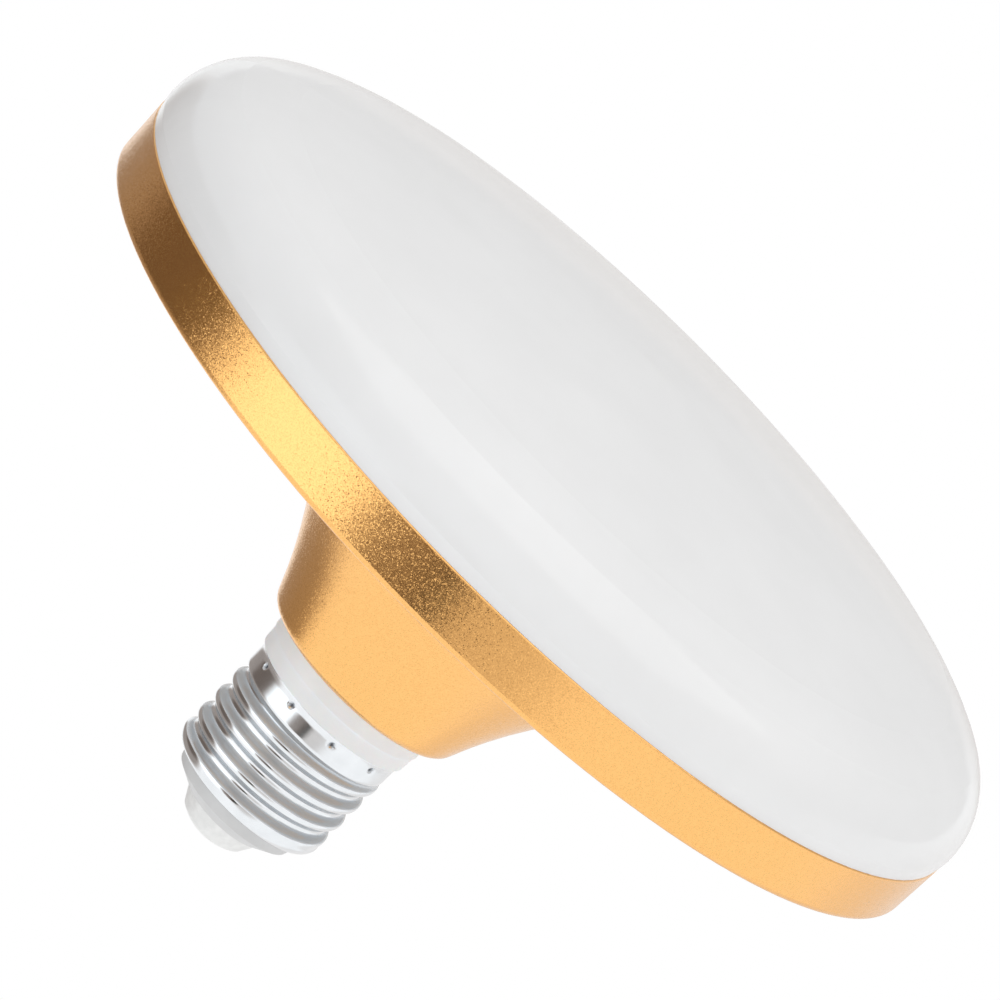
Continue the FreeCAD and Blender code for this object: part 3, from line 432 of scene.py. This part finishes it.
INSULATOR_GREY = (0.67, 0.67, 0.67)
INSULATOR_SHADE = (0.62, 0.62, 0.62)
INSULATOR_FLOW = 0.003
INSULATOR_GRAIN = 0.0003
INSULATOR_GRAIN_DEPTH = 0.000005


def grey_moulding():
    finish, tree, shader = new_finish("grey_moulding", {"Roughness": 0.5})
    tone = add_ramp(tree, add_noise(tree, INSULATOR_FLOW), INSULATOR_SHADE, INSULATOR_GREY)
    tree.links.new(tone, shader.inputs["Base Color"])
    add_bump(tree, shader, add_noise(tree, INSULATOR_GRAIN), INSULATOR_GRAIN_DEPTH)
    return finish


dress("cap_insulator", grey_moulding())

# Centre contact.
# A pressed button of plated brass, riveted in the middle of the insulator.
# The lampholder's spring has rubbed it to a pale satin.

CONTACT = (0.88, 0.88, 0.87)
CONTACT_SHADE = (0.80, 0.80, 0.79)
CONTACT_STOPS = (0.35, 0.65)
CONTACT_POLISH = ((0.56, 0.56, 0.56), (0.68, 0.68, 0.68))
CONTACT_WEAR = 0.0012
CONTACT_WEAR_DEPTH = 0.000006


def contact_metal():
    finish, tree, shader = new_finish("contact_metal", {"Metallic": 0.4})
    wear = add_noise(tree, CONTACT_WEAR, detail=4.0)
    tone = add_ramp(tree, wear, CONTACT_SHADE, CONTACT, *CONTACT_STOPS)
    tree.links.new(tone, shader.inputs["Base Color"])
    tree.links.new(add_ramp(tree, wear, *CONTACT_POLISH), shader.inputs["Roughness"])
    add_bump(tree, shader, wear, CONTACT_WEAR_DEPTH)
    return finish


dress("centre_contact", contact_metal())

# LED board and driver.
# The pieces sealed inside the lamp, each with the plain finish that such a piece has.
# They are screwed, plugged or soldered in place, and none of them can be seen from outside.

# Colour, metallic and roughness of each piece
INNER_FINISHES = {
    "led_board": ((0.86, 0.86, 0.84), 0.0, 0.35),
    "led_chips": ((0.90, 0.72, 0.16), 0.0, 0.30),
    "board_screws": ((0.62, 0.63, 0.65), 1.0, 0.30),
    "adapter_screws": ((0.62, 0.63, 0.65), 1.0, 0.30),
    "driver_board": ((0.42, 0.29, 0.09), 0.0, 0.45),
    "inductor_core": ((0.03, 0.03, 0.03), 0.0, 0.60),
    "inductor_winding": ((0.50, 0.17, 0.05), 0.7, 0.35),
    "input_capacitor": ((0.02, 0.02, 0.04), 0.0, 0.30),
    "output_capacitor": ((0.02, 0.02, 0.04), 0.0, 0.30),
    "film_capacitor": ((0.40, 0.03, 0.02), 0.0, 0.30),
    "fuse_resistor": ((0.09, 0.16, 0.09), 0.0, 0.35),
    "bridge_rectifier": ((0.02, 0.02, 0.02), 0.0, 0.50),
    "driver_chip": ((0.02, 0.02, 0.02), 0.0, 0.50),
    "output_diode": ((0.02, 0.02, 0.02), 0.0, 0.50),
    "chip_resistors": ((0.02, 0.02, 0.02), 0.0, 0.50),
    "live_wire": ((0.09, 0.03, 0.01), 0.0, 0.45),
    "neutral_wire": ((0.01, 0.03, 0.25), 0.0, 0.45),
    "positive_wire": ((0.40, 0.01, 0.01), 0.0, 0.45),
    "negative_wire": ((0.01, 0.01, 0.01), 0.0, 0.45),
    "wire_connector": ((0.78, 0.78, 0.74), 0.0, 0.40),
}
INNER_SHADE = 0.85
INNER_MOTTLE = 0.001
INNER_MOTTLE_DEPTH = 0.00001


def inner_finish(name, colour, metallic, roughness):
    finish, tree, shader = new_finish(name, {"Metallic": metallic, "Roughness": roughness})
    mottle = add_noise(tree, INNER_MOTTLE)
    shade = tuple(INNER_SHADE * part for part in colour)
    tree.links.new(add_ramp(tree, mottle, shade, colour), shader.inputs["Base Color"])
    add_bump(tree, shader, mottle, INNER_MOTTLE_DEPTH)
    return finish


for inner_node, (colour, metallic, roughness) in INNER_FINISHES.items():
    dress(inner_node, inner_finish(f"{inner_node}_finish", colour, metallic, roughness))

# Studio.
# The lamp hangs far above a pale floor in an even white room. Dark screens at its sides and
# a bright one between them give the metal its dark and light bands.

FLOOR_DROP = 0.60
FLOOR_SIZE = 12.0
FLOOR_ROUGHNESS = 0.9
PALE = (0.73, 0.73, 0.73)
WHITE = (1, 1, 1)
ROOM_LIGHT = 1.06
# The dark sides of the room are warm: what its level is raised to in red, green and blue
WARMTH = (1.0, 1.12, 1.20)
# Each screen in degrees, turned from -Y towards +X, height, radius and soft edge, and then
# its change of light
SCREENS = [
    (115, 14, 41, 12, -0.71),
    (98, 14, 20, 14, -0.19),
    (10.5, 13, 14.5, 5, -0.80),
    (-13, 13, 14, 22, -0.34),
    (46, 14, 21, 14, 0.42),
    (181, 3, 11, 14, -0.30),
    (208, 30, 27, 20, -0.18),
]


def add_screen(tree, turn, height, radius, edge, change):
    """Light that grows from nothing to its full change towards one side of the room."""
    turn, height, radius, edge = (math.radians(value) for value in (turn, height, radius, edge))
    way = (
        math.sin(turn) * math.cos(height),
        -math.cos(turn) * math.cos(height),
        math.sin(height),
    )
    place = add_node(tree, "ShaderNodeTexCoord")
    facing = add_node(tree, "ShaderNodeVectorMath", operation="DOT_PRODUCT")
    tree.links.new(place.outputs["Generated"], facing.inputs[0])
    facing.inputs[1].default_value = way
    return add_range(
        tree,
        facing.outputs["Value"],
        interpolation_type="SMOOTHSTEP",
        from_min=math.cos(radius + edge / 2),
        from_max=math.cos(radius - edge / 2),
        to_min=0.0,
        to_max=change,
    )


def light_room():
    world = bpy.data.worlds.new("white_room")
    bpy.context.scene.world = world
    world.use_nodes = True
    tree = world.node_tree
    level = ROOM_LIGHT
    for screen in SCREENS:
        level = add_arithmetic(tree, "ShaderNodeMath", "ADD", add_screen(tree, *screen), level)
    light = add_node(tree, "ShaderNodeCombineColor")
    for socket, power in zip(light.inputs, WARMTH):
        tree.links.new(add_arithmetic(tree, "ShaderNodeMath", "POWER", level, power), socket)
    rays = add_node(tree, "ShaderNodeLightPath")
    shown = add_mix(tree, rays.outputs["Is Camera Ray"], light.outputs["Color"], WHITE)
    tree.links.new(shown, tree.nodes["Background"].inputs["Color"])


def lay_floor():
    floor = bmesh.new()
    bmesh.ops.create_grid(floor, x_segments=1, y_segments=1, size=FLOOR_SIZE / 2)
    bmesh.ops.translate(floor, verts=floor.verts, vec=(0, 0, -FLOOR_DROP))
    mesh = bpy.data.meshes.new("floor")
    floor.to_mesh(mesh)
    floor.free()
    looks = {"Base Color": (*PALE, 1), "Roughness": FLOOR_ROUGHNESS}
    mesh.materials.append(new_finish("pale_floor", looks)[0])
    add_object("floor", mesh)


light_room()
lay_floor()

# Soft boxes, the lower of which the cover mirrors as a pale band: place, aim, sides, power
SOFT_BOXES = {
    "low_box": ((-0.06, -0.22, -0.50), (-0.06, -0.22, 0.0), (0.95, 0.56), 1.30),
    "front_box": ((-0.55, -1.05, -0.45), (0.0, 0.0, 0.0), (1.70, 0.90), 0.95),
}


def hang_soft_box(name, place, aim, sides, power):
    light = bpy.data.lights.new(name, "AREA")
    light.shape = "RECTANGLE"
    light.size, light.size_y = sides
    light.energy = power
    box = add_object(name, light)
    box.location = place
    box.rotation_euler = (Vector(aim) - Vector(place)).to_track_quat("-Z", "Y").to_euler()
    box.visible_camera = False


for box_name, box_values in SOFT_BOXES.items():
    hang_soft_box(box_name, *box_values)

# Camera.
# It stands below and in front of the lamp, looks up at it, and is rolled well over, so that
# the cap points down to the left and the cover faces up to the right.

CAMERA_PLACE = (0.00357, -0.79010, -0.16803)
CAMERA_RISE = math.radians(14.026)
CAMERA_ROLL = math.radians(-135.13)
CAMERA_LENS = 208.4
CAMERA_SENSOR = 36.0

bpy.context.scene.view_settings.view_transform = "Standard"
camera = add_object("camera", bpy.data.cameras.new("camera"))
camera.data.sensor_width = CAMERA_SENSOR
camera.data.lens = CAMERA_LENS
camera.data.clip_start = 0.01
camera.matrix_world = (
    Matrix.Translation(CAMERA_PLACE)
    @ Matrix.Rotation(math.pi / 2 + CAMERA_RISE, 4, "X")
    @ Matrix.Rotation(CAMERA_ROLL, 4, "Z")
)
bpy.context.scene.camera = camera
